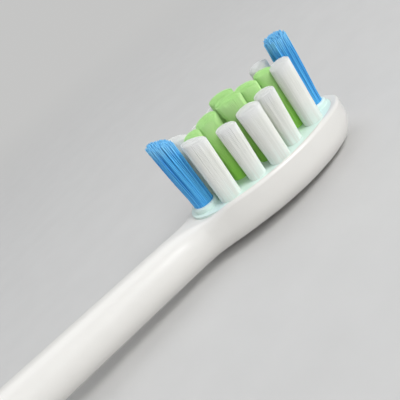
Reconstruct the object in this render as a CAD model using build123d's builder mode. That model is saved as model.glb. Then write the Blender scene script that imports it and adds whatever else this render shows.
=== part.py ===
"""A click-on electric toothbrush head: body, tuft platform, tufts with their anchors, and drive socket.

It lies on its back with the bristles up. X runs along the axis of the neck, from the mouth of the drive
socket to the toe. Y goes across the head, and Z goes up along the bristles.
"""
import os
from math import atan, copysign, cos, degrees, pi, sin

from build123d import *

os.makedirs("parts", exist_ok=True)

# Lengths along the brush, from the mouth of the socket
HEAD_X = 72.35
TAPER_START_X = 26.0
RING_LENGTH = 4.5
SPIGOT_X = 0.8

# Neck and base, as radii about the axis
NECK_R = 3.1
NECK_BASE_R = 3.3
BASE_R = 7.0
RING_WALL = 1.65
RING_CHAMFER = 0.5

# Head tray
PLATE_LENGTH = 25.5
PLATE_WIDTH = 12.6
PLATE_THICKNESS = 2.6
PLATE_Z = 3.0
RIM_WALL = 0.7
TOE_WALL = 1.3
RIM_RISE = 0.3
RIM_CHAMFER = 0.25
BACK_Z = -2.7
BACK_ROUND = 3.3
BACK_ROUND_SHARE = 0.95

# The top of the body dips at the heel, from the neck to the plate's end and up again to the rim
HEEL_RUN = 5.6
HEEL_CLEAR = 0.3
HEEL_RISE = 3.9
HEEL_DIP = 0.3

# Sections of the flare: place after the plate's heel, shares of the way from neck to head in width and in
# the back's height, rise of the top over the neck, and squareness, which is 2 for a round
FLARE_LEAD = 6.1
FLARE_SECTIONS = [
    (-4.1, 0.0, 0.0, 0.0, 2.0),
    (-1.3, 0.04, 0.08, 0.2, 2.05),
    (1.3, 0.26, 0.38, 1.3, 2.3),
    (3.9, 0.56, 0.7, 3.1, 2.7),
    (6.9, 0.8, 1.05, 4.9, 3.2),
]
SECTION_POINTS = 16

# The plate has room for this many tuft radii along it and across it
RADII_ALONG = 17.0
RADII_ACROSS = 8.4
TUFT_HEIGHT = 10.0

# Tufts: shares of the plate's half length and half width, of the tuft radius and of the tuft height, and the
# slope of the trimmed end
WHITE_PAIRS = [
    (-0.61, 0.437, 1.0, 0.92, -0.28),
    (-0.275, 0.595, 0.81, 0.81, -0.1),
    (0.01, 0.722, 1.0, 0.83, 0.0),
    (0.28, 0.548, 0.81, 0.81, 0.0),
    (0.625, 0.437, 0.92, 0.95, 0.1),
]
GREEN_TUFTS = [
    (-0.52, 0.0, 0.76, 0.9, 0.1),
    (-0.295, 0.0, 0.96, 0.94, 0.1),
    (0.02, -0.238, 0.87, 1.0, 0.0),
    (0.02, 0.238, 0.87, 1.0, 0.0),
    (0.295, 0.0, 0.96, 0.93, -0.1),
    (0.53, 0.0, 0.85, 0.92, -0.1),
]
BLUE_TUFTS = {
    "heel_tuft_blue": (-0.82, 0.0, 0.93, 1.09, -0.1),
    "toe_tuft_blue": (0.84, 0.0, 0.93, 1.18, -0.05),
}

# How much wider a tuft is at its end, as a share of its radius
WHITE_SPLAY = 0.04
GREEN_SPLAY = 0.07
BLUE_SPLAY = 0.36
CROWN_CHAMFER = 0.3
TUFT_SIDES = 20

# Bosses, holes and anchors of the tufts
BOSS_WALL = 0.45
BOSS_RISE = 0.75
BOSS_CHAMFER = 0.2
HOLE_DEPTH = 2.2
ANCHOR_THICKNESS = 0.3
ANCHOR_HEIGHT = 1.2
ANCHOR_BITE = 0.25

# Drive socket and its spring
SOCKET_X = 0.3
SOCKET_LENGTH = 14.7
SOCKET_WALL = 1.3
SHAFT_R = 2.0
SPRING_INSET = 5.7
SPRING_LENGTH = 6.0
SPRING_WIDTH = 1.5
SPRING_THICKNESS = 0.2
SPRING_BOW = 0.5

# Clearances, each on one side
PLATE_CLEAR = 0.05
TUFT_CLEAR = 0.03
SOCKET_CLEAR = 0.04
RING_CLEAR = 0.05
SPRING_CLEAR = 0.05

# Values that follow
HEEL_X = HEAD_X - PLATE_LENGTH / 2
FLARE_START_X = HEEL_X - FLARE_LEAD
NECK_SLOPE = (NECK_R - NECK_BASE_R) / (FLARE_START_X - TAPER_START_X)
RIM_Z = PLATE_Z + RIM_RISE
TRAY_Z = PLATE_Z - PLATE_THICKNESS
HOLE_Z = PLATE_Z - HOLE_DEPTH
HEAD_HALF_LENGTH = (PLATE_LENGTH + RIM_WALL + TOE_WALL) / 2
HEAD_HALF_WIDTH = PLATE_WIDTH / 2 + RIM_WALL
HEAD_END_R = HEAD_HALF_WIDTH**2 / HEAD_HALF_LENGTH
TUFT_R = min(PLATE_LENGTH / RADII_ALONG, PLATE_WIDTH / RADII_ACROSS)
SPIGOT_R = BASE_R - RING_WALL - RING_CLEAR
SOCKET_R = SHAFT_R + SOCKET_WALL
SOCKET_END_X = SOCKET_X + SOCKET_LENGTH
SPRING_X = SOCKET_X + SPRING_INSET + SPRING_LENGTH / 2
SPRING_ROOF = SHAFT_R + SPRING_CLEAR + SPRING_BOW + SPRING_THICKNESS
ABOVE_ALL = TUFT_HEIGHT


def section_points(spread, lift, rise, squareness):
    """Points round one section of the flare: a round, or with more squareness a rounded box."""
    half_width = NECK_R + spread * (HEAD_HALF_WIDTH - NECK_R)
    bottom = -NECK_R + lift * (BACK_Z + NECK_R)
    middle = (bottom + NECK_R + rise) / 2
    points = []
    for step in range(SECTION_POINTS):
        angle = 2 * pi * step / SECTION_POINTS
        across = copysign(abs(cos(angle)) ** (2 / squareness), cos(angle))
        up = copysign(abs(sin(angle)) ** (2 / squareness), sin(angle))
        points.append((half_width * across, middle + (middle - bottom) * up))
    return points


def placed_tuft(along, across, girth, tallness, slope, splay):
    """One tuft in millimetres: its place, radius, height over the plate, trim slope and radius at the end."""
    radius = girth * TUFT_R
    x = HEAD_X + along * PLATE_LENGTH / 2
    y = across * PLATE_WIDTH / 2
    return x, y, radius, tallness * TUFT_HEIGHT, slope, radius * (1 + splay)


def all_tufts():
    """Every tuft by its name."""
    tufts = {}
    for name, form in BLUE_TUFTS.items():
        tufts[name] = placed_tuft(*form, BLUE_SPLAY)
    for number, (along, across, *form) in enumerate(WHITE_PAIRS, start=1):
        tufts[f"white_tuft_near_{number}"] = placed_tuft(along, -across, *form, WHITE_SPLAY)
        tufts[f"white_tuft_far_{number}"] = placed_tuft(along, across, *form, WHITE_SPLAY)
    for number, form in enumerate(GREEN_TUFTS, start=1):
        tufts[f"green_tuft_{number}"] = placed_tuft(*form, GREEN_SPLAY)
    return tufts


def anchor_box(x, y, radius, mode):
    """The metal plate that holds a tuft down: it lies across the middle row and along the outer rows."""
    length = 2 * (radius + ANCHOR_BITE)
    size = (ANCHOR_THICKNESS, length) if y == 0 else (length, ANCHOR_THICKNESS)
    with Locations((x, y, HOLE_Z)):
        Box(*size, ANCHOR_HEIGHT, align=(Align.CENTER, Align.CENTER, Align.MIN), mode=mode)


TUFTS = all_tufts()

# Body: head tray, flared neck and hollow base in one moulding
with BuildPart() as brush_body:
    with BuildSketch(Plane.XY.offset(BACK_Z)):
        with Locations((HEAD_X + (TOE_WALL - RIM_WALL) / 2, 0)):
            Ellipse(HEAD_HALF_LENGTH, HEAD_HALF_WIDTH)
    extrude(amount=RIM_Z - BACK_Z)
    fillet(brush_body.edges().sort_by(Axis.Z)[0], min(BACK_ROUND, BACK_ROUND_SHARE * HEAD_END_R))
    chamfer(brush_body.edges().sort_by(Axis.Z)[-1], RIM_CHAMFER)
    with BuildSketch(Plane.YZ.offset(FLARE_START_X)):
        Circle(NECK_R)
    for place, *form in FLARE_SECTIONS:
        with BuildSketch(Plane.YZ.offset(HEEL_X + place)):
            with BuildLine():
                Spline(*section_points(*form), periodic=True)
            make_face()
    loft()
    with BuildSketch(Plane.XZ):
        with BuildLine():
            Polyline(
                (FLARE_START_X, NECK_R),
                (FLARE_START_X, 0),
                (SPIGOT_X, 0),
                (SPIGOT_X, SPIGOT_R),
                (RING_LENGTH, SPIGOT_R),
                (RING_LENGTH, BASE_R),
            )
            TangentArc((TAPER_START_X, NECK_BASE_R), (RING_LENGTH, BASE_R), tangent=(-1, -NECK_SLOPE))
            Line((TAPER_START_X, NECK_BASE_R), (FLARE_START_X, NECK_R))
        make_face()
    revolve(axis=Axis.X)
    with BuildSketch(Plane.XZ):
        with BuildLine():
            Polyline(
                (HEEL_X - HEEL_RUN, NECK_R),
                (HEEL_X + HEEL_CLEAR, PLATE_Z - HEEL_DIP),
                (HEEL_X + HEEL_RISE, RIM_Z),
                (HEAD_X, RIM_Z),
                (HEAD_X, RIM_Z + ABOVE_ALL),
                (HEEL_X - HEEL_RUN, RIM_Z + ABOVE_ALL),
                close=True,
            )
        make_face()
    extrude(amount=PLATE_WIDTH, both=True, mode=Mode.SUBTRACT)
    with BuildSketch(Plane.XY.offset(TRAY_Z)):
        with Locations((HEAD_X, 0)):
            Ellipse(PLATE_LENGTH / 2 + PLATE_CLEAR, PLATE_WIDTH / 2 + PLATE_CLEAR)
    extrude(amount=ABOVE_ALL, mode=Mode.SUBTRACT)
    with BuildSketch(Plane.YZ.offset(SPIGOT_X)):
        Circle(SOCKET_R + SOCKET_CLEAR)
    extrude(amount=SOCKET_END_X - SPIGOT_X, mode=Mode.SUBTRACT)
brush_body.part.label = "brush_body"
export_step(brush_body.part, "parts/brush_body.step")

# Tuft platform: the plate in the tray, a boss under each end tuft, and a hole for each tuft
with BuildPart() as tuft_platform:
    with BuildSketch(Plane.XY.offset(TRAY_Z)):
        with Locations((HEAD_X, 0)):
            Ellipse(PLATE_LENGTH / 2, PLATE_WIDTH / 2)
    extrude(amount=PLATE_THICKNESS)
    for name in BLUE_TUFTS:
        x, y, radius, *_ = TUFTS[name]
        with BuildSketch(Plane.XY.offset(PLATE_Z)):
            with Locations((x, y)):
                Circle(radius + BOSS_WALL)
        extrude(amount=BOSS_RISE)
    chamfer(tuft_platform.edges().group_by(Axis.Z)[-1], BOSS_CHAMFER)
    for x, y, radius, *_ in TUFTS.values():
        with BuildSketch(Plane.XY.offset(HOLE_Z)):
            with Locations((x, y)):
                Circle(radius + TUFT_CLEAR)
        extrude(amount=HOLE_DEPTH + BOSS_RISE, mode=Mode.SUBTRACT)
        anchor_box(x, y, radius, Mode.SUBTRACT)
tuft_platform.part.label = "tuft_platform"
export_step(tuft_platform.part, "parts/tuft_platform.step")

# Tufts: a straight foot in the hole, a column that splays a little, and a trimmed end. A bundle of filaments
# has no smooth skin, so its section is a polygon of many sides
for name, (x, y, radius, height, slope, end_radius) in TUFTS.items():
    with BuildPart() as tuft:
        with BuildSketch(Plane.XY.offset(HOLE_Z)):
            with Locations((x, y)):
                RegularPolygon(radius, TUFT_SIDES)
        extrude(amount=HOLE_DEPTH + BOSS_RISE)
        column = height - BOSS_RISE
        flare = degrees(atan((end_radius - radius) / column))
        extrude(tuft.faces().sort_by(Axis.Z)[-1], amount=column + 2 * end_radius, taper=-flare)
        split(bisect_by=Plane((x, y, PLATE_Z + height), z_dir=(-slope, 0, 1)), keep=Keep.BOTTOM)
        chamfer(tuft.faces().sort_by(Axis.Z)[-1].edges(), CROWN_CHAMFER)
        anchor_box(x, y, radius, Mode.SUBTRACT)
    tuft.part.label = name
    export_step(tuft.part, f"parts/{name}.step")

# Tuft anchors: one flat metal plate across the foot of each tuft
with BuildPart() as tuft_anchors:
    for x, y, radius, *_ in TUFTS.values():
        anchor_box(x, y, radius, Mode.ADD)
tuft_anchors.part.label = "tuft_anchors"
export_step(tuft_anchors.part, "parts/tuft_anchors.step")

# Drive socket: the tube that takes the handle's shaft, with a pocket beside the bore for the spring
with BuildPart() as shaft_socket:
    with BuildSketch(Plane.YZ.offset(SOCKET_X)):
        Circle(SOCKET_R)
        Circle(SHAFT_R, mode=Mode.SUBTRACT)
    extrude(amount=SOCKET_LENGTH)
    with Locations((SPRING_X, 0, 0)):
        Box(
            SPRING_LENGTH + 2 * SPRING_CLEAR,
            SPRING_WIDTH + 2 * SPRING_CLEAR,
            SPRING_ROOF,
            align=(Align.CENTER, Align.CENTER, Align.MIN),
            mode=Mode.SUBTRACT,
        )
shaft_socket.part.label = "shaft_socket"
export_step(shaft_socket.part, "parts/shaft_socket.step")

# Grip spring: a bowed leaf in that pocket, with its ends against the pocket's roof
with BuildPart() as grip_spring:
    left, right = SPRING_X - SPRING_LENGTH / 2, SPRING_X + SPRING_LENGTH / 2
    end_low, end_high = SPRING_ROOF - SPRING_THICKNESS, SPRING_ROOF
    with BuildSketch(Plane.XZ):
        with BuildLine():
            ThreePointArc((left, end_low), (SPRING_X, end_low - SPRING_BOW), (right, end_low))
            Line((right, end_low), (right, end_high))
            ThreePointArc((right, end_high), (SPRING_X, end_high - SPRING_BOW), (left, end_high))
            Line((left, end_high), (left, end_low))
        make_face()
    extrude(amount=SPRING_WIDTH / 2, both=True)
grip_spring.part.label = "grip_spring"
export_step(grip_spring.part, "parts/grip_spring.step")

# Base ring: the plain ring round the spigot, which closes the base
with BuildPart() as base_ring:
    with BuildSketch(Plane.YZ):
        Circle(BASE_R)
        Circle(SPIGOT_R + RING_CLEAR, mode=Mode.SUBTRACT)
    extrude(amount=RING_LENGTH)
    chamfer(base_ring.edges().group_by(Axis.X)[0].sort_by(SortBy.RADIUS)[-1], RING_CHAMFER)
base_ring.part.label = "base_ring"
export_step(base_ring.part, "parts/base_ring.step")
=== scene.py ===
"""Dresses the electric toothbrush head: smooth mouldings, tufts of single filaments and a stage.

Lengths in the settings are metres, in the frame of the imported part: X along the neck towards the
toe, Y across the head and Z up along the bristles.
"""
import math
import random
from collections import namedtuple

import bmesh
import bpy
from bpy.props import (
    FloatProperty,
    FloatVectorProperty,
    IntProperty,
    PointerProperty,
)
from mathutils import Matrix, Vector


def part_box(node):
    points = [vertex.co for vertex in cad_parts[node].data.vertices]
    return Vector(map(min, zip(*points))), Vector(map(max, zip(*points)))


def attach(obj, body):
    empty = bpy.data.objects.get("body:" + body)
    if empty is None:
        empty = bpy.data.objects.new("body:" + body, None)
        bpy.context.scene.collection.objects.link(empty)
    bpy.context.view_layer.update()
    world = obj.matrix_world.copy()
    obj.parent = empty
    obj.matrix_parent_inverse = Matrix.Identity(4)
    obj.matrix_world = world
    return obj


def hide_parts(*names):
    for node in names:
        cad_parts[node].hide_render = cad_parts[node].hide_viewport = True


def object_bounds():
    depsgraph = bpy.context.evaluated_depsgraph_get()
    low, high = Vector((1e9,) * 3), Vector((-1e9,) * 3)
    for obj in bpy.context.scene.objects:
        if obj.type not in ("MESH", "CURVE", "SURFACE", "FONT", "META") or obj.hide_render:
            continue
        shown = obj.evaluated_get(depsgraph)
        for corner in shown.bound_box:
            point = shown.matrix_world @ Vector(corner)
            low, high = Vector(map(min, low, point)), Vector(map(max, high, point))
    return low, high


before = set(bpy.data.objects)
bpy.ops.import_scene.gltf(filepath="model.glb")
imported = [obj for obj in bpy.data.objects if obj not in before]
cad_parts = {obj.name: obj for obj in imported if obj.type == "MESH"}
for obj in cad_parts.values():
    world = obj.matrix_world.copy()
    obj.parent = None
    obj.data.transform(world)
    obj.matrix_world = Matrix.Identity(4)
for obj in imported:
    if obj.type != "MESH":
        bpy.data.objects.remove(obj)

bl_info = {
    "name": "Brush Head",
    "version": (1, 0, 0),
    "blender": (4, 5, 0),
    "location": "View3D > Sidebar > Brush Head",
    "description": "Dresses the packed toothbrush head and sets it on a studio floor",
    "category": "Object",
}

CAD_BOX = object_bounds()
BODY = "root"
MM = 0.001
MERGE_DISTANCE = 0.0005 * MM

# Corners of the nodes that the body's skin, the plate and the floor are worked out from
RING_LOW, RING_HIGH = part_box("base_ring")
PLATE_LOW, PLATE_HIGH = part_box("tuft_platform")
_, BODY_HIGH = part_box("brush_body")


def mm(value, name, description):
    """A length setting, given in millimetres."""
    return FloatProperty(
        name=name, description=description, default=value * MM, unit="LENGTH", precision=5
    )


def share(value, name, description):
    """A setting from 0 to 1."""
    return FloatProperty(
        name=name, description=description, default=value, min=0.0, max=1.0, subtype="FACTOR"
    )


def colour(value, name, description):
    """A colour setting, in linear light."""
    return FloatVectorProperty(
        name=name, description=description, default=value, size=3, min=0.0, max=1.0, subtype="COLOR"
    )


class TuftSettings(bpy.types.PropertyGroup):
    """How one kind of tuft is filled with filaments and coloured."""

    splay: share(0.05, "Splay", "How much wider the tuft is at its end")
    unruly: mm(0.01, "Unruly", "How far a filament's end strays to the side")
    ragged: mm(0.08, "Ragged", "How much the filaments differ in length")
    bow: mm(0.01, "Bow", "How far a filament bows at mid length")
    dome: mm(0.3, "Dome", "How much shorter the outer filaments are than the middle ones")
    tip_start: share(0.82, "Tip start", "Where the paler tip begins, along a filament")
    # The foot colour is painted light and shade: aqua light bounced from the plate on the white tufts,
    # shade low down among the tufts on the green and blue ones
    foot_shade_and_bounce: colour((0.7, 0.8, 0.7), "Foot", "Colour by the plate")
    stem_colour: colour((0.7, 0.7, 0.7), "Stem", "Colour along the filaments")
    # The paler tip is partly the trimmed ends and partly painted light on the lit tops
    tip_and_top_light: colour((0.8, 0.8, 0.8), "Tip", "Colour of the trimmed ends")
    # Streaks: some filaments darker, partly a tone that differs at random and partly painted shade in
    # the gaps between strands
    streak_and_gap_shade: colour((0.5, 0.5, 0.5), "Streak", "Colour of the darkest filaments")


class BrushSettings(bpy.types.PropertyGroup):
    """Sizes and colours of the head."""

    filament_radius: mm(0.07, "Filament radius", "Radius of one filament")
    closeness: share(0.86, "Closeness", "Spacing of neighbours, as a share of a filament's width")
    seed: IntProperty(name="Seed", description="Seed of the random lie of the filaments", default=7)
    crease_angle: FloatProperty(
        name="Crease angle",
        description="Edges sharper than this stay sharp",
        default=math.radians(32),
        subtype="ANGLE",
    )
    body_colour: colour((0.825, 0.808, 0.77), "Body", "White of the moulded body")
    plate_colour: colour((0.77, 0.92, 0.87), "Plate", "Pale aqua of the tuft plate")
    socket_colour: colour((0.6, 0.6, 0.58), "Socket", "Off-white of the drive socket")
    steel_colour: colour((0.56, 0.57, 0.58), "Steel", "Bright strip of spring and anchors")
    white: PointerProperty(type=TuftSettings, name="White", description="White tufts")
    green: PointerProperty(type=TuftSettings, name="Green", description="Green tufts")
    blue: PointerProperty(type=TuftSettings, name="Blue", description="Blue end tufts")


class StageSettings(bpy.types.PropertyGroup):
    """Camera, floor and light."""

    azimuth: FloatProperty(
        name="Azimuth",
        description="Turn of the camera about the upright, 0 looks along +Y",
        default=math.radians(-14.78),
        subtype="ANGLE",
    )
    elevation: FloatProperty(
        name="Elevation",
        description="Height of the camera over the horizon",
        default=math.radians(21.64),
        subtype="ANGLE",
    )
    roll: FloatProperty(
        name="Roll",
        description="Turn of the camera about its own line of sight",
        default=math.radians(-36.48),
        subtype="ANGLE",
    )
    distance: mm(82.34, "Distance", "From the camera to its aim")
    aim: FloatVectorProperty(
        name="Aim",
        description="Point that the camera looks at",
        default=(61.55 * MM, 0.0, 4.31 * MM),
        subtype="TRANSLATION",
        precision=5,
    )
    lens: FloatProperty(
        name="Lens", description="Focal length in millimetres on a 36 mm sensor", default=56.04, min=1.0
    )
    floor_colour: colour((0.63, 0.625, 0.615), "Floor", "Pale floor")
    backdrop_colour: colour((0.56, 0.56, 0.555), "Backdrop", "Even tone of the far floor")
    sky_colour: colour((0.93, 0.96, 1.0), "Sky", "Soft light from all round")
    sky_strength: FloatProperty(name="Sky strength", description="Level of the soft light", default=0.39)
    key_power: FloatProperty(
        name="Key", description="Power of the lamp over the toe", default=2.3, subtype="POWER"
    )
    fill_power: FloatProperty(
        name="Fill", description="Power of the lamp by the camera", default=2.55, subtype="POWER"
    )
    top_power: FloatProperty(
        name="Top", description="Power of the broad lamp above", default=3.3, subtype="POWER"
    )


WHITE_SIDES = ("near", "far")

# Kinds of tuft by the name of their settings: slot of the record, and the nodes
TUFT_KINDS = {
    "white": (
        "white_bristle",
        [f"white_tuft_{side}_{number}" for side in WHITE_SIDES for number in range(1, 6)],
    ),
    "green": ("green_bristle", [f"green_tuft_{number}" for number in range(1, 7)]),
    "blue": ("blue_bristle", ["heel_tuft_blue", "toe_tuft_blue"]),
}

# Settings in which each kind differs from the defaults
TUFT_DEFAULTS = {
    "white": {
        "splay": 0.04,
        # Foot: painted aqua light bounced from the plate
        "foot_shade_and_bounce": (0.87, 0.95, 0.9),
        "stem_colour": (0.91, 0.915, 0.87),
        "tip_and_top_light": (0.91, 0.915, 0.9),
        "streak_and_gap_shade": (0.84, 0.85, 0.8),
    },
    "green": {
        "splay": 0.07,
        # Paler from under half way up, painted light on the lit tops; the foot painted darker and deeper
        # with shade low among the tufts; the streaks partly painted shade between filaments
        "tip_start": 0.45,
        "foot_shade_and_bounce": (0.48, 0.93, 0.17),
        "stem_colour": (0.54, 0.92, 0.24),
        "tip_and_top_light": (0.62, 0.93, 0.42),
        "streak_and_gap_shade": (0.45, 0.86, 0.19),
    },
    "blue": {
        "splay": 0.36,
        "unruly": 0.1 * MM,
        "ragged": 0.35 * MM,
        "bow": 0.06 * MM,
        "dome": 0.7 * MM,
        # Foot painted a little darker with shade low in the tuft; dark streaks are partly painted shade
        # in the gaps between strands; the paler tips are partly the trimmed ends and partly painted
        # light
        "foot_shade_and_bounce": (0.11, 0.54, 0.96),
        "stem_colour": (0.125, 0.59, 0.99),
        "tip_and_top_light": (0.24, 0.65, 0.97),
        "streak_and_gap_shade": (0.025, 0.28, 0.76),
    },
}

# The end of a tuft. Its solid is trimmed with a slope along X. Wear leans the end along X, tilts it by
# a further slope, makes it wider by a share of its radius, and longer
TuftEnd = namedtuple("TuftEnd", "trim lean tilt wider longer", defaults=(0.0,) * 5)
WHITE_ROW = (
    TuftEnd(trim=-0.28, wider=0.06),
    TuftEnd(trim=-0.1, wider=0.14),
    TuftEnd(wider=0.08),
    TuftEnd(wider=0.2),
    TuftEnd(trim=0.1, wider=0.04),
)
TUFT_ENDS = {
    "heel_tuft_blue": TuftEnd(trim=-0.1, lean=-0.5 * MM, tilt=-0.27, wider=-0.15, longer=0.15 * MM),
    "toe_tuft_blue": TuftEnd(trim=-0.05, lean=0.15 * MM, wider=-0.15, longer=0.15 * MM),
    "green_tuft_1": TuftEnd(trim=0.1, wider=0.06),
    "green_tuft_2": TuftEnd(trim=0.1, wider=0.1),
    "green_tuft_3": TuftEnd(lean=-0.6 * MM, wider=0.38),
    "green_tuft_4": TuftEnd(lean=0.08 * MM, wider=0.34),
    "green_tuft_5": TuftEnd(trim=-0.1, lean=-0.28 * MM, wider=0.08),
    "green_tuft_6": TuftEnd(trim=-0.1, wider=0.08),
}
for side in WHITE_SIDES:
    for number, row_end in enumerate(WHITE_ROW, start=1):
        TUFT_ENDS[f"white_tuft_{side}_{number}"] = row_end
TUFT_ENDS["white_tuft_near_3"] = TUFT_ENDS["white_tuft_near_3"]._replace(lean=-0.2 * MM)

# Finish of the mouldings: slow clouds of tone and gloss, the grain of the mould, and the clear coat
CLOUD_SCALE = 160.0
CLOUD_DETAIL = 3.0
CLOUD_LOW = 0.3
CLOUD_HIGH = 0.7
GRAIN_DETAIL = 4.0
GRAIN_STRENGTH = 0.35
GRAIN_DEPTH = 0.004 * MM
COAT_ROUGHNESS = 0.12

# Finish of the filaments: where the painted shade and bounced light of the foot fade out along them, and
# how they differ, with darker streaks that are partly painted shade between filaments
FOOT_FADE_START = 0.2
FOOT_FADE_END = 0.55
STREAK_START = 0.45
STREAK_SHARE = 0.8
SLEEK_ROUGHNESS = 0.32
DULL_ROUGHNESS = 0.5


def add_node(tree, kind, place, **values):
    """A shader node at a place in the editor, with its attributes set."""
    node = tree.nodes.new(kind)
    node.location = place
    for name, value in values.items():
        setattr(node, name, value)
    return node


def new_group(name, inputs, outputs):
    """An empty shader node group with its sockets: name, socket kind and default."""
    tree = bpy.data.node_groups.new(name, "ShaderNodeTree")
    for way, sockets in (("INPUT", inputs), ("OUTPUT", outputs)):
        for socket_name, kind, default in sockets:
            socket = tree.interface.new_socket(socket_name, in_out=way, socket_type=kind)
            if default is not None:
                socket.default_value = default
    return tree


def moulded_skin_group():
    """The skin of a moulding: slow changes of tone and gloss, and the fine grain of the mould."""
    tree = bpy.data.node_groups.get("moulded_skin")
    if tree:
        return tree
    tree = new_group(
        "moulded_skin",
        [
            ("Colour", "NodeSocketColor", (0.8, 0.8, 0.8, 1.0)),
            ("Shade", "NodeSocketFloat", 0.94),
            ("Gloss", "NodeSocketFloat", 0.2),
            ("Gloss Change", "NodeSocketFloat", 0.08),
            ("Grain Scale", "NodeSocketFloat", 2500.0),
        ],
        [
            ("Colour", "NodeSocketColor", None),
            ("Roughness", "NodeSocketFloat", None),
            ("Height", "NodeSocketFloat", None),
        ],
    )
    source = add_node(tree, "NodeGroupInput", (-900, 0))
    result = add_node(tree, "NodeGroupOutput", (500, 0))
    place = add_node(tree, "ShaderNodeTexCoord", (-900, -300))
    cloud = add_node(tree, "ShaderNodeTexNoise", (-600, 200))
    cloud.inputs["Scale"].default_value = CLOUD_SCALE
    cloud.inputs["Detail"].default_value = CLOUD_DETAIL
    grain = add_node(tree, "ShaderNodeTexNoise", (-600, -200))
    grain.inputs["Detail"].default_value = GRAIN_DETAIL
    darker = add_node(tree, "ShaderNodeMix", (-200, 300), data_type="RGBA", blend_type="MULTIPLY")
    darker.inputs["Factor"].default_value = 1.0
    tone = add_node(tree, "ShaderNodeMapRange", (-400, 200))
    tone.inputs["From Min"].default_value = CLOUD_LOW
    tone.inputs["From Max"].default_value = CLOUD_HIGH
    rough = add_node(tree, "ShaderNodeMath", (0, 0), operation="MULTIPLY_ADD")
    link = tree.links.new
    link(place.outputs["Object"], cloud.inputs["Vector"])
    link(place.outputs["Object"], grain.inputs["Vector"])
    link(source.outputs["Grain Scale"], grain.inputs["Scale"])
    link(cloud.outputs["Fac"], tone.inputs["Value"])
    link(source.outputs["Shade"], tone.inputs["To Min"])
    link(source.outputs["Colour"], darker.inputs["A"])
    link(tone.outputs["Result"], darker.inputs["B"])
    link(cloud.outputs["Fac"], rough.inputs[0])
    link(source.outputs["Gloss Change"], rough.inputs[1])
    link(source.outputs["Gloss"], rough.inputs[2])
    link(darker.outputs["Result"], result.inputs["Colour"])
    link(rough.outputs["Value"], result.inputs["Roughness"])
    link(grain.outputs["Fac"], result.inputs["Height"])
    return tree


def filament_group():
    """The colour of a filament: the foot painted with shade and bounced light, the stem, a paler tip
    that is partly painted light on the lit tops, and streaks that are partly painted shade between
    filaments.
    """
    tree = bpy.data.node_groups.get("filament_tone")
    if tree:
        return tree
    white = (1.0, 1.0, 1.0, 1.0)
    tree = new_group(
        "filament_tone",
        [
            ("Foot", "NodeSocketColor", white),
            ("Stem", "NodeSocketColor", white),
            ("Tip", "NodeSocketColor", white),
            ("Streak", "NodeSocketColor", white),
            ("Streak Share", "NodeSocketFloat", 0.5),
            ("Tip Start", "NodeSocketFloat", 0.82),
        ],
        [("Colour", "NodeSocketColor", None), ("Roughness", "NodeSocketFloat", None)],
    )
    source = add_node(tree, "NodeGroupInput", (-900, 0))
    result = add_node(tree, "NodeGroupOutput", (700, 0))
    along = add_node(tree, "ShaderNodeAttribute", (-900, 300), attribute_name="along")
    shade = add_node(tree, "ShaderNodeAttribute", (-900, -300), attribute_name="shade")
    # Painted shade and bounced light at the foot, fading into the stem
    foot_fade = add_node(tree, "ShaderNodeMapRange", (-600, 300), interpolation_type="SMOOTHSTEP")
    foot_fade.inputs["From Min"].default_value = FOOT_FADE_START
    foot_fade.inputs["From Max"].default_value = FOOT_FADE_END
    # Paler towards the tip: partly the trimmed ends, partly painted light on the lit tops
    tip_fade = add_node(tree, "ShaderNodeMapRange", (-600, 0), interpolation_type="SMOOTHSTEP")
    tip_fade.inputs["From Max"].default_value = 1.0
    # Filaments picked at random go darker: partly a real change of tone, partly painted shade between
    # filaments
    streak_fade = add_node(tree, "ShaderNodeMapRange", (-600, -300), interpolation_type="SMOOTHSTEP")
    streak_fade.inputs["From Min"].default_value = STREAK_START
    streak_fade.inputs["From Max"].default_value = 1.0
    streak_part = add_node(tree, "ShaderNodeMath", (-350, -300), operation="MULTIPLY")
    rise = add_node(tree, "ShaderNodeMix", (-200, 300), data_type="RGBA")
    streaked = add_node(tree, "ShaderNodeMix", (100, 200), data_type="RGBA")
    tipped = add_node(tree, "ShaderNodeMix", (400, 100), data_type="RGBA")
    rough = add_node(tree, "ShaderNodeMapRange", (400, -300))
    rough.inputs["To Min"].default_value = SLEEK_ROUGHNESS
    rough.inputs["To Max"].default_value = DULL_ROUGHNESS
    link = tree.links.new
    link(along.outputs["Fac"], foot_fade.inputs["Value"])
    link(along.outputs["Fac"], tip_fade.inputs["Value"])
    link(source.outputs["Tip Start"], tip_fade.inputs["From Min"])
    link(shade.outputs["Fac"], streak_fade.inputs["Value"])
    link(streak_fade.outputs["Result"], streak_part.inputs[0])
    link(source.outputs["Streak Share"], streak_part.inputs[1])
    link(foot_fade.outputs["Result"], rise.inputs["Factor"])
    link(source.outputs["Foot"], rise.inputs["A"])
    link(source.outputs["Stem"], rise.inputs["B"])
    link(streak_part.outputs["Value"], streaked.inputs["Factor"])
    link(rise.outputs["Result"], streaked.inputs["A"])
    link(source.outputs["Streak"], streaked.inputs["B"])
    link(tip_fade.outputs["Result"], tipped.inputs["Factor"])
    link(streaked.outputs["Result"], tipped.inputs["A"])
    link(source.outputs["Tip"], tipped.inputs["B"])
    link(tipped.outputs["Result"], result.inputs["Colour"])
    link(shade.outputs["Fac"], rough.inputs["Value"])
    link(rough.outputs["Result"], result.inputs["Roughness"])
    return tree


def start_material(name, group):
    """A material with its Principled shader, and the node group that gives its colour and roughness."""
    material = bpy.data.materials.new(name)
    material.use_nodes = True
    tree = material.node_tree
    shader = tree.nodes["Principled BSDF"]
    effect = add_node(tree, "ShaderNodeGroup", (-500, 100), node_tree=group)
    tree.links.new(effect.outputs["Colour"], shader.inputs["Base Color"])
    tree.links.new(effect.outputs["Roughness"], shader.inputs["Roughness"])
    return material, shader, effect


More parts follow.
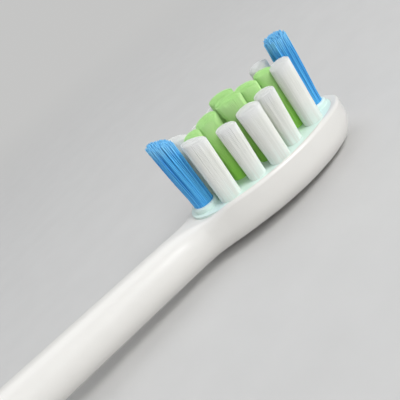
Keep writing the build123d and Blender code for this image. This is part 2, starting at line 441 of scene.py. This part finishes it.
def moulded_material(name, skin_colour, gloss, shade=0.94, metallic=0.0, coat=0.0):
    """A moulded or drawn surface: tone, gloss and fine grain from the shared skin."""
    material, shader, effect = start_material(name, moulded_skin_group())
    tree = material.node_tree
    effect.inputs["Colour"].default_value = (*skin_colour, 1.0)
    effect.inputs["Gloss"].default_value = gloss
    effect.inputs["Shade"].default_value = shade
    shader.inputs["Metallic"].default_value = metallic
    shader.inputs["Coat Weight"].default_value = coat
    shader.inputs["Coat Roughness"].default_value = COAT_ROUGHNESS
    bump = add_node(tree, "ShaderNodeBump", (-250, -250))
    bump.inputs["Strength"].default_value = GRAIN_STRENGTH
    bump.inputs["Distance"].default_value = GRAIN_DEPTH
    tree.links.new(effect.outputs["Height"], bump.inputs["Height"])
    tree.links.new(bump.outputs["Normal"], shader.inputs["Normal"])
    return material


def bristle_material(kind, tones):
    """Filaments of one colour, with painted shade and bounced light at their feet, streaks that are
    partly painted shade, and paler tips that are partly the trimmed ends and partly painted light on the
    lit tops.
    """
    material, _, effect = start_material(f"{kind}_filaments", filament_group())
    effect.inputs["Foot"].default_value = (*tones.foot_shade_and_bounce, 1.0)
    effect.inputs["Stem"].default_value = (*tones.stem_colour, 1.0)
    effect.inputs["Tip"].default_value = (*tones.tip_and_top_light, 1.0)
    effect.inputs["Streak"].default_value = (*tones.streak_and_gap_shade, 1.0)
    effect.inputs["Streak Share"].default_value = STREAK_SHARE
    effect.inputs["Tip Start"].default_value = tones.tip_start
    return material


def link_piece(name, bm, material, nodes, crease_angle):
    """Turns a bmesh into a shown piece that rides with the head and stands for its nodes."""
    mesh = bpy.data.meshes.new(name)
    bm.to_mesh(mesh)
    bm.free()
    # A copy of a node carries normals that no longer fit once its triangles are joined
    carried_normals = mesh.attributes.get("custom_normal")
    if carried_normals:
        mesh.attributes.remove(carried_normals)
    mesh.shade_smooth()
    mesh.set_sharp_from_angle(angle=crease_angle)
    mesh.materials.append(material)
    piece = bpy.data.objects.new(name, mesh)
    bpy.context.scene.collection.objects.link(piece)
    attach(piece, BODY)
    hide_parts(*nodes)


def joined_copy(node):
    """A bmesh of a node with its loose triangles joined into one skin."""
    bm = bmesh.new()
    bm.from_mesh(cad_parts[node].data)
    bmesh.ops.remove_doubles(bm, verts=bm.verts[:], dist=MERGE_DISTANCE)
    return bm


def extrude_ring(bm, edges):
    """Extrudes a ring of edges in place: returns the new ring's corners and edges."""
    made = bmesh.ops.extrude_edge_only(bm, edges=edges)["geom"]
    corners = [part for part in made if isinstance(part, bmesh.types.BMVert)]
    ring = [
        part
        for part in made
        if isinstance(part, bmesh.types.BMEdge) and all(vert in corners for vert in part.verts)
    ]
    return corners, ring


# One section of the body across X: half width, top, bottom, the rounding of its upper and lower corners,
# and the half width and floor of the tray
Section = namedtuple("Section", "x width top bottom top_round bottom_round tray floor")

# Lengths of the body in millimetres
NECK_R = 3.1
NECK_BASE_R = 3.3
TAPER_START_X = 26.0
FLARE_LEAD = 6.1
SPIGOT_X = 0.8
SPIGOT_R = 5.3
HOLE_R = 3.34
HOLE_END_X = 15.0
HEAD_HALF_LENGTH = 13.75
RIM_Z = 3.3
TOE_RIM_Z = 3.0
RIM_ROUND = 0.52
BACK_Z = -2.7
BACK_ROUND = 3.3
TRAY_Z = 0.4
TRAY_CLEAR = 0.05
TRAY_EDGE = 0.1
TRAY_WALL_MIDDLE_Z = TRAY_Z + 1

# The flare and the head: places after the heel of the plate, each with its value, in millimetres
FLARE_WIDTHS = [
    (-FLARE_LEAD, NECK_R),
    (-4.1, NECK_R),
    (-1.3, 3.26),
    (1.3, 4.11),
    (3.9, 5.28),
    (6.9, 6.26),
    (8.4, 6.59),
]
FLARE_TOPS = [
    (-FLARE_LEAD, NECK_R),
    (-5.0, 3.06),
    (0.3, 2.7),
    (3.9, RIM_Z),
    (20.0, RIM_Z),
    (26.8, TOE_RIM_Z),
]
FLARE_BOTTOMS = [(-4.1, -NECK_R), (-1.3, -3.07), (1.3, -2.95), (3.9, -2.82), (6.9, BACK_Z)]
TOP_ROUNDS = [(-FLARE_LEAD, NECK_R), (-3.6, 2.9), (-1.3, 2.2), (1.3, 1.0), (3.9, 0.45), (6.9, RIM_ROUND)]
BOTTOM_ROUNDS = [(-FLARE_LEAD, NECK_R), (1.3, 3.2), (6.9, BACK_ROUND)]
ELLIPSE_START = FLARE_WIDTHS[-2][0]

# How near the ellipse of the tray or the plate a corner counts as on it
TRAY_EDGE_TOLERANCE = 0.001
PLATE_WALL_SHARE = 0.999

# Steps of the body's mesh round a section and along each stretch
CORNER_STEPS = 10
SIDE_STEPS = 3
BASE_STEPS = 16
NECK_STEPS = 10
FLARE_STEPS = 12
TRAY_STEPS = 44
TOE_STEPS = 9

# Places and sizes from the frame, in millimetres
RING_X = RING_HIGH.x / MM
RING_R = RING_HIGH.z / MM
PLATE_CENTRE_X = (PLATE_LOW.x + PLATE_HIGH.x) / 2 / MM
PLATE_HALF_LENGTH = (PLATE_HIGH.x - PLATE_LOW.x) / 2 / MM
PLATE_HALF_WIDTH = PLATE_HIGH.y / MM
TRAY_HALF_LENGTH = PLATE_HALF_LENGTH + TRAY_CLEAR
TRAY_HALF_WIDTH = PLATE_HALF_WIDTH + TRAY_CLEAR
HEEL_X = PLATE_LOW.x / MM
FLARE_START_X = HEEL_X - FLARE_LEAD
TOE_X = BODY_HIGH.x / MM
HEAD_HALF_WIDTH = BODY_HIGH.y / MM
HEAD_CENTRE_X = TOE_X - HEAD_HALF_LENGTH


def turn_slope(points, index):
    """The slope of a smooth curve at one of its points: level at its ends and where it turns."""
    if index in (0, len(points) - 1):
        return 0.0
    (x0, y0), (x1, y1), (x2, y2) = points[index - 1 : index + 2]
    before = (y1 - y0) / (x1 - x0)
    after = (y2 - y1) / (x2 - x1)
    return 2 * before * after / (before + after) if before * after > 0 else 0.0


def smooth_curve(points, x):
    """Reads a smooth curve through a few points of place and value."""
    if x <= points[0][0]:
        return points[0][1]
    if x >= points[-1][0]:
        return points[-1][1]
    right = next(index for index, (place, _) in enumerate(points) if place >= x)
    (x0, y0), (x1, y1) = points[right - 1], points[right]
    run = x1 - x0
    t = (x - x0) / run
    rise = turn_slope(points, right - 1) * run, turn_slope(points, right) * run
    ease = t * t * (3 - 2 * t)
    return y0 + (y1 - y0) * ease + rise[0] * t * (1 - t) ** 2 - rise[1] * t * t * (1 - t)


def ellipse_width(x, centre, half_length, half_width):
    """Half the width of an ellipse at one place along it."""
    return half_width * math.sqrt(max(0.0, 1 - ((x - centre) / half_length) ** 2))


def round_section(x, radius):
    """A round section about the axis of the neck."""
    return Section(x, radius, radius, -radius, radius, radius, 0.0, radius)


def base_radius(x):
    """The radius of the base: an arc that ends in line with the taper of the neck."""
    slope = (NECK_R - NECK_BASE_R) / (FLARE_START_X - TAPER_START_X)
    normal = Vector((-slope, 1.0)).normalized()
    chord = Vector((RING_X - TAPER_START_X, RING_R - NECK_BASE_R))
    radius = chord.length_squared / (2 * chord.dot(normal))
    centre = Vector((TAPER_START_X, NECK_BASE_R)) + normal * radius
    return centre.y - math.sqrt(radius**2 - (x - centre.x) ** 2)


def round_fall(into, radius):
    """How far a quarter round has fallen back, at a length into it."""
    into = min(max(into, 0.0), radius)
    return radius - math.sqrt(radius**2 - into**2)


def head_section(x, in_tray):
    """A section of the flare or the head: a rounded box, with the tray in its top."""
    place = x - HEEL_X
    width = smooth_curve(FLARE_WIDTHS, place)
    if place > ELLIPSE_START:
        width = ellipse_width(x, HEAD_CENTRE_X, HEAD_HALF_LENGTH, HEAD_HALF_WIDTH)
    top = smooth_curve(FLARE_TOPS, place) - round_fall(x - (TOE_X - RIM_ROUND), RIM_ROUND)
    bottom = smooth_curve(FLARE_BOTTOMS, place) + round_fall(x - (TOE_X - BACK_ROUND), BACK_ROUND)
    top_round = min(smooth_curve(TOP_ROUNDS, place), width)
    bottom_round = min(smooth_curve(BOTTOM_ROUNDS, place), width, top - top_round - bottom)
    tray = ellipse_width(x, PLATE_CENTRE_X, TRAY_HALF_LENGTH, TRAY_HALF_WIDTH) if in_tray else 0.0
    floor = TRAY_Z if in_tray else top
    return Section(x, width, top, bottom, top_round, bottom_round, tray, floor)


def steps_between(start, end, count):
    """Even steps from start to end, the end left out."""
    return [start + (end - start) * step / count for step in range(count)]


def body_sections():
    """All sections from the end of the socket's hole, round the base and along the neck to the toe."""
    corners = [
        (HOLE_END_X, 0.0),
        (HOLE_END_X, HOLE_R),
        (SPIGOT_X, HOLE_R),
        (SPIGOT_X, SPIGOT_R),
        (RING_X, SPIGOT_R),
        (RING_X, RING_R),
    ]
    sections = [round_section(*corner) for corner in corners]
    for x in steps_between(RING_X, TAPER_START_X, BASE_STEPS)[1:]:
        sections.append(round_section(x, base_radius(x)))
    for t in steps_between(0.0, 1.0, NECK_STEPS):
        x = TAPER_START_X + t * (FLARE_START_X - TAPER_START_X)
        sections.append(round_section(x, NECK_BASE_R + t * (NECK_R - NECK_BASE_R)))
    heel_end = PLATE_CENTRE_X - TRAY_HALF_LENGTH
    toe_end = PLATE_CENTRE_X + TRAY_HALF_LENGTH
    for x in steps_between(FLARE_START_X, heel_end, FLARE_STEPS) + [heel_end]:
        sections.append(head_section(x, in_tray=False))
    for angle in steps_between(0.0, math.pi, TRAY_STEPS) + [math.pi]:
        x = PLATE_CENTRE_X - TRAY_HALF_LENGTH * math.cos(angle)
        sections.append(head_section(x, in_tray=True))
    toe_angle = math.acos((toe_end - HEAD_CENTRE_X) / HEAD_HALF_LENGTH)
    for angle in steps_between(toe_angle, 0.0, TOE_STEPS) + [0.0]:
        x = HEAD_CENTRE_X + HEAD_HALF_LENGTH * math.cos(angle)
        sections.append(head_section(x, in_tray=False))
    return sections


def section_loop(section):
    """Points round one section, from the middle of its top over the far side and up the near side."""
    x, width, top, bottom, top_round, bottom_round, tray, floor = section
    half = [(0.0, floor), (tray, floor), (tray, top)]
    for step in range(CORNER_STEPS + 1):
        angle = math.pi / 2 * (1 - step / CORNER_STEPS)
        across = width - top_round * (1 - math.cos(angle))
        half.append((across, top - top_round * (1 - math.sin(angle))))
    side_top = top - top_round
    side_bottom = bottom + bottom_round
    for step in range(1, SIDE_STEPS):
        half.append((width, side_top + (side_bottom - side_top) * step / SIDE_STEPS))
    for step in range(CORNER_STEPS + 1):
        angle = math.pi / 2 * step / CORNER_STEPS
        across = width - bottom_round * (1 - math.cos(angle))
        half.append((across, bottom + bottom_round * (1 - math.sin(angle))))
    half.append((0.0, bottom))
    other = [(-across, height) for across, height in reversed(half[:-1])]
    return [Vector((x, across, height)) * MM for across, height in half + other]


def on_tray_edge(edge):
    """True for the upper edge of the tray's wall."""
    for vert in edge.verts:
        along = (vert.co.x / MM - PLATE_CENTRE_X) / TRAY_HALF_LENGTH
        across = vert.co.y / MM / TRAY_HALF_WIDTH
        if abs(along**2 + across**2 - 1) > TRAY_EDGE_TOLERANCE:
            return False
        if vert.co.z < TRAY_WALL_MIDDLE_Z * MM:
            return False
    return True


def body_mesh():
    """The body as one skin: a grid drawn over its sections, with the seam and the ends merged."""
    loops = [section_loop(section) for section in body_sections()]
    rows, columns = len(loops) - 1, len(loops[0]) - 1
    bm = bmesh.new()
    bmesh.ops.create_grid(bm, x_segments=rows, y_segments=columns, size=1.0)
    for vert in bm.verts:
        row = round((vert.co.x + 1) / 2 * rows)
        column = round((vert.co.y + 1) / 2 * columns)
        vert.co = loops[row][column]
    bmesh.ops.remove_doubles(bm, verts=bm.verts[:], dist=MERGE_DISTANCE)
    bmesh.ops.dissolve_degenerate(bm, edges=bm.edges[:], dist=MERGE_DISTANCE)
    bmesh.ops.recalc_face_normals(bm, faces=bm.faces[:])
    bmesh.ops.bevel(
        bm,
        geom=[edge for edge in bm.edges if on_tray_edge(edge)],
        offset=TRAY_EDGE * MM,
        offset_type="OFFSET",
        segments=2,
        profile=0.5,
        affect="EDGES",
        clamp_overlap=True,
        material=-1,
    )
    return bm


class BRUSHHEAD_OT_body(bpy.types.Operator):
    """Make the glossy white body and its base ring"""

    bl_idname = "brush_head.body"
    bl_label = "Body"

    def execute(self, context):
        settings = context.scene.brush_head
        crease = settings.crease_angle
        skin = moulded_material("glossy_white", settings.body_colour, gloss=0.28, shade=0.98, coat=0.5)
        link_piece("body_skin", body_mesh(), skin, ["brush_body"], crease)
        link_piece("base_ring_skin", joined_copy("base_ring"), skin, ["base_ring"], crease)
        return {"FINISHED"}


def plate_mesh():
    """The plate from its node, grown by the clearance so that it meets the wall of the tray."""
    bm = joined_copy("tuft_platform")
    for vert in bm.verts:
        along = vert.co.x / MM - PLATE_CENTRE_X
        across = vert.co.y / MM
        if (along / PLATE_HALF_LENGTH) ** 2 + (across / PLATE_HALF_WIDTH) ** 2 > PLATE_WALL_SHARE:
            vert.co.x = (PLATE_CENTRE_X + along * TRAY_HALF_LENGTH / PLATE_HALF_LENGTH) * MM
            vert.co.y = across * TRAY_HALF_WIDTH / PLATE_HALF_WIDTH * MM
    return bm


class BRUSHHEAD_OT_plate(bpy.types.Operator):
    """Make the aqua plate that holds the tufts"""

    bl_idname = "brush_head.plate"
    bl_label = "Tuft plate"

    def execute(self, context):
        settings = context.scene.brush_head
        crease = settings.crease_angle
        satin = moulded_material("aqua_satin", settings.plate_colour, gloss=0.3)
        link_piece("tuft_plate", plate_mesh(), satin, ["tuft_platform"], crease)
        return {"FINISHED"}


class BRUSHHEAD_OT_inner(bpy.types.Operator):
    """Finish the drive socket, its spring and the tuft anchors"""

    bl_idname = "brush_head.inner"
    bl_label = "Socket, spring and anchors"

    def execute(self, context):
        settings = context.scene.brush_head
        plain = moulded_material("socket_plastic", settings.socket_colour, gloss=0.38)
        steel = moulded_material("bright_strip", settings.steel_colour, gloss=0.26, metallic=1.0)
        finishes = {
            "shaft_socket": ("socket", plain),
            "grip_spring": ("spring", steel),
            "tuft_anchors": ("anchor", steel),
        }
        for node, (slot, material) in finishes.items():
            link_piece(f"{node}_skin", joined_copy(node), material, [node], settings.crease_angle)
        return {"FINISHED"}


# One filament: its sides, its rings as shares of its length, and the width left at its rounded end
FILAMENT_SIDES = 5
FILAMENT_LEVELS = (0.0, 0.35, 0.6, 0.82, 0.985, 1.0)
TIP_WIDTH = 0.6
# Makes any step up the filament count for more than a whole turn round it
LEVEL_WEIGHT = 1000
# Its crease angle, as a multiple of the mouldings'
FILAMENT_CREASE = 2
# How late the end of a tuft falls off towards its edge, and how much of its dome rises over the trim
DOME_POWER = 4
DOME_LEVEL = 0.5


def steady_order(face):
    """A key that puts faces in the same order at each run: up along Z, then round the axis."""
    middle = face.calc_center_median()
    return LEVEL_WEIGHT * middle.z + math.atan2(middle.y, middle.x)


def filament_template():
    """One upright filament of unit radius and length with a rounded end, as a mesh."""
    bm = bmesh.new()
    ring = bmesh.ops.create_circle(bm, segments=FILAMENT_SIDES, radius=1.0)["verts"]
    edges = bm.edges[:]
    for low, high in zip(FILAMENT_LEVELS, FILAMENT_LEVELS[1:]):
        ring, edges = extrude_ring(bm, edges)
        bmesh.ops.translate(bm, verts=ring, vec=(0, 0, high - low))
    bmesh.ops.scale(bm, verts=ring, vec=(TIP_WIDTH, TIP_WIDTH, 1.0))
    bmesh.ops.edgeloop_fill(bm, edges=edges)
    bmesh.ops.recalc_face_normals(bm, faces=bm.faces[:])
    bm.faces.sort(key=steady_order)
    mesh = bpy.data.meshes.new("filament_template")
    bm.to_mesh(mesh)
    bm.free()
    return mesh


def ring_places(radius, gap, draw):
    """Places in a round tuft, as reach and angle: rings of evenly spaced filaments, outside in."""
    places = []
    for ring in range(int(radius / gap) + 1):
        reach = radius - ring * gap
        count = max(1, int(math.tau * reach / gap))
        start = draw.random() * math.tau
        places += [(reach, start + math.tau * number / count) for number in range(count)]
    return places


def tuft_of_filaments(node, tones, settings, template, draw):
    """A bmesh of one tuft: filaments in rings, splayed and trimmed, from the hole's foot up."""
    low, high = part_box(node)
    centre = (low + high) / 2
    end_radius = (high.y - low.y) / 2
    worn = TUFT_ENDS[node]
    foot_radius = end_radius / (1 + tones.splay) - settings.filament_radius
    end_spread = (end_radius * (1 + worn.wider) - settings.filament_radius) / foot_radius
    trim_height = high.z - abs(worn.trim) * end_radius + worn.longer
    plate_share = (PLATE_HIGH.z - low.z) / (trim_height - low.z)
    gap = 2 * settings.filament_radius * settings.closeness
    bm = bmesh.new()
    along = bm.verts.layers.float.new("along")
    shade = bm.verts.layers.float.new("shade")
    size = len(template.vertices)
    for reach, angle in ring_places(foot_radius, gap, draw):
        foot = Vector((math.cos(angle), math.sin(angle), 0)) * reach
        stray = Vector((draw.gauss(0, 1), draw.gauss(0, 1), 0)) * tones.unruly
        bow = Vector((draw.gauss(0, 1), draw.gauss(0, 1), 0)) * tones.bow
        end = foot * end_spread + stray
        fall = tones.dome * ((reach / foot_radius) ** DOME_POWER - DOME_LEVEL)
        trim = (worn.trim + worn.tilt) * end.x - fall - draw.random() * tones.ragged
        length = trim_height + trim - low.z
        end.x += worn.lean
        tone = draw.random()
        bm.from_mesh(template)
        bm.verts.ensure_lookup_table()
        for vert in bm.verts[-size:]:
            up = vert.co.z
            lean = max(0.0, (up - plate_share) / (1 - plate_share))
            middle = foot.lerp(end, lean) + bow * (4 * lean * (1 - lean))
            vert[along] = up
            vert[shade] = tone
            vert.co.x = centre.x + middle.x + vert.co.x * settings.filament_radius
            vert.co.y = centre.y + middle.y + vert.co.y * settings.filament_radius
            vert.co.z = low.z + up * length
    return bm


def make_tufts(context, kind):
    """All tufts of one kind."""
    settings = context.scene.brush_head
    tones = getattr(settings, kind)
    slot, nodes = TUFT_KINDS[kind]
    material = bristle_material(kind, tones)
    template = filament_template()
    for node in nodes:
        draw = random.Random(f"{settings.seed} {node}")
        bm = tuft_of_filaments(node, tones, settings, template, draw)
        crease = settings.crease_angle * FILAMENT_CREASE
        link_piece(f"{node}_filaments", bm, material, [node], crease)
    bpy.data.meshes.remove(template)


class BRUSHHEAD_OT_white_tufts(bpy.types.Operator):
    """Make the ten white tufts"""

    bl_idname = "brush_head.white_tufts"
    bl_label = "White tufts"

    def execute(self, context):
        make_tufts(context, "white")
        return {"FINISHED"}


class BRUSHHEAD_OT_green_tufts(bpy.types.Operator):
    """Make the six green tufts along the middle"""

    bl_idname = "brush_head.green_tufts"
    bl_label = "Green tufts"

    def execute(self, context):
        make_tufts(context, "green")
        return {"FINISHED"}


class BRUSHHEAD_OT_blue_tufts(bpy.types.Operator):
    """Make the two blue end tufts"""

    bl_idname = "brush_head.blue_tufts"
    bl_label = "Blue tufts"

    def execute(self, context):
        make_tufts(context, "blue")
        return {"FINISHED"}


# The floor in metres: a round card that sweeps up all round, and fades into one tone away from the head
FLOOR_RADIUS = 1.2
FLOOR_SIDES = 96
SWEEP_RADIUS = 0.8
SWEEP_ANGLE = math.radians(70)
SWEEP_STEPS = 12
FADE_START = 0.07
FADE_END = 0.3

# Where the back of the tray rests on the floor, after the middle of the plate, in millimetres
BACK_REST = 8.51

# Lamps: the way from the aim, the distance and the size in metres, and whether reflections show them
Lamp = namedtuple("Lamp", "way distance size mirrored")
LAMPS = {
    "key": Lamp((0.4, -0.55, 0.73), 0.65, 0.26, True),
    "fill": Lamp((-0.14, -0.83, 0.54), 1.1, 0.4, False),
    "top": Lamp((-0.05, 0.39, 0.92), 1.3, 1.0, True),
}

SENSOR_WIDTH = 36.0
CLIP_START = 1 * MM
CLIP_END = 3 * FLOOR_RADIUS


def lowest_between(node, start, end):
    """The lowest height of a node between two places along X."""
    heights = [vert.co.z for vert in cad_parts[node].data.vertices if start < vert.co.x < end]
    return min(heights)


TRAY_BACK_Z = lowest_between("brush_body", PLATE_LOW.x, PLATE_HIGH.x)


def floor_plane():
    """A point of the floor, and its slope along X: it touches the base ring and the back of the tray."""
    contact_ring = Vector((RING_LOW.x, 0, RING_LOW.z))
    contact_back = Vector(((PLATE_CENTRE_X + BACK_REST) * MM, 0, TRAY_BACK_Z))
    run = contact_back - contact_ring
    return contact_ring, math.atan2(run.z, run.x)


def add_lamp(name, lamp, power, aim):
    """A square area lamp that faces a point."""
    data = bpy.data.lights.new(name, "AREA")
    data.energy = power
    data.size = lamp.size
    shown = bpy.data.objects.new(name, data)
    shown.location = aim + Vector(lamp.way) * lamp.distance
    shown.rotation_mode = "QUATERNION"
    shown.rotation_quaternion = (aim - shown.location).to_track_quat("-Z", "Y")
    shown.visible_glossy = lamp.mirrored
    bpy.context.scene.collection.objects.link(shown)


def camera_axes(azimuth, elevation, roll):
    """The camera's right, up and back directions."""
    back = Vector(
        (
            math.sin(azimuth) * math.cos(elevation),
            -math.cos(azimuth) * math.cos(elevation),
            math.sin(elevation),
        )
    )
    level = Vector((math.cos(azimuth), math.sin(azimuth), 0.0))
    upright = back.cross(level)
    right = level * math.cos(roll) + upright * math.sin(roll)
    up = upright * math.cos(roll) - level * math.sin(roll)
    return right, up, back


class BRUSHHEAD_OT_stage(bpy.types.Operator):
    """Set up the floor, the light and the camera"""

    bl_idname = "brush_head.stage"
    bl_label = "Stage"

    def execute(self, context):
        stage = context.scene.brush_stage
        self.make_floor(stage)
        self.make_light(context.scene, stage)
        self.make_camera(context.scene, stage)
        context.scene.view_settings.view_transform = "Standard"
        return {"FINISHED"}

    def make_floor(self, stage):
        """A card under the head, swept up all round, with no edge in view."""
        contact, slope = floor_plane()
        bm = bmesh.new()
        bmesh.ops.create_circle(bm, cap_ends=True, segments=FLOOR_SIDES, radius=FLOOR_RADIUS)
        rim = bm.edges[:]
        for step in range(1, SWEEP_STEPS + 1):
            angle = SWEEP_ANGLE * step / SWEEP_STEPS
            corners, rim = extrude_ring(bm, rim)
            reach = FLOOR_RADIUS + SWEEP_RADIUS * math.sin(angle)
            height = SWEEP_RADIUS * (1 - math.cos(angle))
            for vert in corners:
                vert.co = vert.co.xy.normalized().to_3d() * reach
                vert.co.z = height
        bmesh.ops.recalc_face_normals(bm, faces=bm.faces[:])
        bmesh.ops.rotate(bm, verts=bm.verts[:], matrix=Matrix.Rotation(-slope, 3, "Y"))
        bmesh.ops.translate(bm, verts=bm.verts[:], vec=contact)
        mesh = bpy.data.meshes.new("floor")
        bm.to_mesh(mesh)
        bm.free()
        mesh.shade_smooth()
        mesh.materials.append(self.floor_material(stage))
        floor = bpy.data.objects.new("floor", mesh)
        bpy.context.scene.collection.objects.link(floor)

    def floor_material(self, stage):
        """Pale card by the head, which fades into one even tone where only the view sees it."""
        card = moulded_material("pale_card", stage.floor_colour, gloss=0.8, shade=0.97)
        tree = card.node_tree
        shader = tree.nodes["Principled BSDF"]
        output = tree.nodes["Material Output"]
        output.location = (700, 200)
        place = add_node(tree, "ShaderNodeTexCoord", (-500, 700))
        reach = add_node(tree, "ShaderNodeVectorMath", (-300, 700), operation="DISTANCE")
        reach.inputs[1].default_value = (CAD_BOX[0] + CAD_BOX[1]) / 2
        far = add_node(tree, "ShaderNodeMapRange", (-100, 700), interpolation_type="SMOOTHERSTEP")
        far.inputs["From Min"].default_value = FADE_START
        far.inputs["From Max"].default_value = FADE_END
        ray = add_node(tree, "ShaderNodeLightPath", (-500, 1100))
        mirrored = add_node(tree, "ShaderNodeMath", (-300, 1000), operation="MAXIMUM")
        seen = add_node(tree, "ShaderNodeMath", (-100, 1000), operation="MAXIMUM")
        part = add_node(tree, "ShaderNodeMath", (100, 800), operation="MULTIPLY")
        tone = add_node(tree, "ShaderNodeEmission", (100, 500))
        tone.inputs["Color"].default_value = (*stage.backdrop_colour, 1.0)
        mix = add_node(tree, "ShaderNodeMixShader", (450, 400))
        link = tree.links.new
        link(place.outputs["Object"], reach.inputs[0])
        link(reach.outputs["Value"], far.inputs["Value"])
        link(ray.outputs["Is Glossy Ray"], mirrored.inputs[0])
        link(ray.outputs["Is Transmission Ray"], mirrored.inputs[1])
        link(ray.outputs["Is Camera Ray"], seen.inputs[0])
        link(mirrored.outputs["Value"], seen.inputs[1])
        link(far.outputs["Result"], part.inputs[0])
        link(seen.outputs["Value"], part.inputs[1])
        link(part.outputs["Value"], mix.inputs["Fac"])
        link(shader.outputs["BSDF"], mix.inputs[1])
        link(tone.outputs["Emission"], mix.inputs[2])
        link(mix.outputs["Shader"], output.inputs["Surface"])
        return card

    def make_light(self, scene, stage):
        """A soft even sky and three broad lamps."""
        world = bpy.data.worlds.new("soft_sky")
        world.use_nodes = True
        sky = world.node_tree.nodes["Background"]
        sky.inputs["Color"].default_value = (*stage.sky_colour, 1.0)
        sky.inputs["Strength"].default_value = stage.sky_strength
        scene.world = world
        for name, lamp in LAMPS.items():
            add_lamp(f"{name}_lamp", lamp, getattr(stage, f"{name}_power"), Vector(stage.aim))

    def make_camera(self, scene, stage):
        """The view of the photograph."""
        right, up, back = camera_axes(stage.azimuth, stage.elevation, stage.roll)
        data = bpy.data.cameras.new("camera")
        data.sensor_width = SENSOR_WIDTH
        data.lens = stage.lens
        data.clip_start = CLIP_START
        data.clip_end = CLIP_END
        camera = bpy.data.objects.new("camera", data)
        place = Vector(stage.aim) + back * stage.distance
        turn = Matrix((right, up, back)).transposed().to_4x4()
        camera.matrix_world = Matrix.Translation(place) @ turn
        scene.collection.objects.link(camera)
        scene.camera = camera


class BRUSHHEAD_PT_panel(bpy.types.Panel):
    """The steps in the order that they run"""

    bl_idname = "BRUSHHEAD_PT_panel"
    bl_label = "Brush Head"
    bl_space_type = "VIEW_3D"
    bl_region_type = "UI"
    bl_category = "Brush Head"

    def draw(self, context):
        for step in STEPS:
            self.layout.operator(step.bl_idname)


STEPS = (
    BRUSHHEAD_OT_body,
    BRUSHHEAD_OT_plate,
    BRUSHHEAD_OT_inner,
    BRUSHHEAD_OT_white_tufts,
    BRUSHHEAD_OT_green_tufts,
    BRUSHHEAD_OT_blue_tufts,
    BRUSHHEAD_OT_stage,
)
CLASSES = (TuftSettings, BrushSettings, StageSettings, *STEPS, BRUSHHEAD_PT_panel)


def register():
    for cls in CLASSES:
        bpy.utils.register_class(cls)
    bpy.types.Scene.brush_head = PointerProperty(type=BrushSettings)
    bpy.types.Scene.brush_stage = PointerProperty(type=StageSettings)
    for kind, values in TUFT_DEFAULTS.items():
        for name, value in values.items():
            setattr(getattr(bpy.context.scene.brush_head, kind), name, value)


def unregister():
    del bpy.types.Scene.brush_stage
    del bpy.types.Scene.brush_head
    for cls in reversed(CLASSES):
        bpy.utils.unregister_class(cls)


def main():
    register()
    bpy.ops.brush_head.body()
    bpy.ops.brush_head.plate()
    bpy.ops.brush_head.inner()
    bpy.ops.brush_head.white_tufts()
    bpy.ops.brush_head.green_tufts()
    bpy.ops.brush_head.blue_tufts()
    bpy.ops.brush_head.stage()


if __name__ == "__main__":
    main()
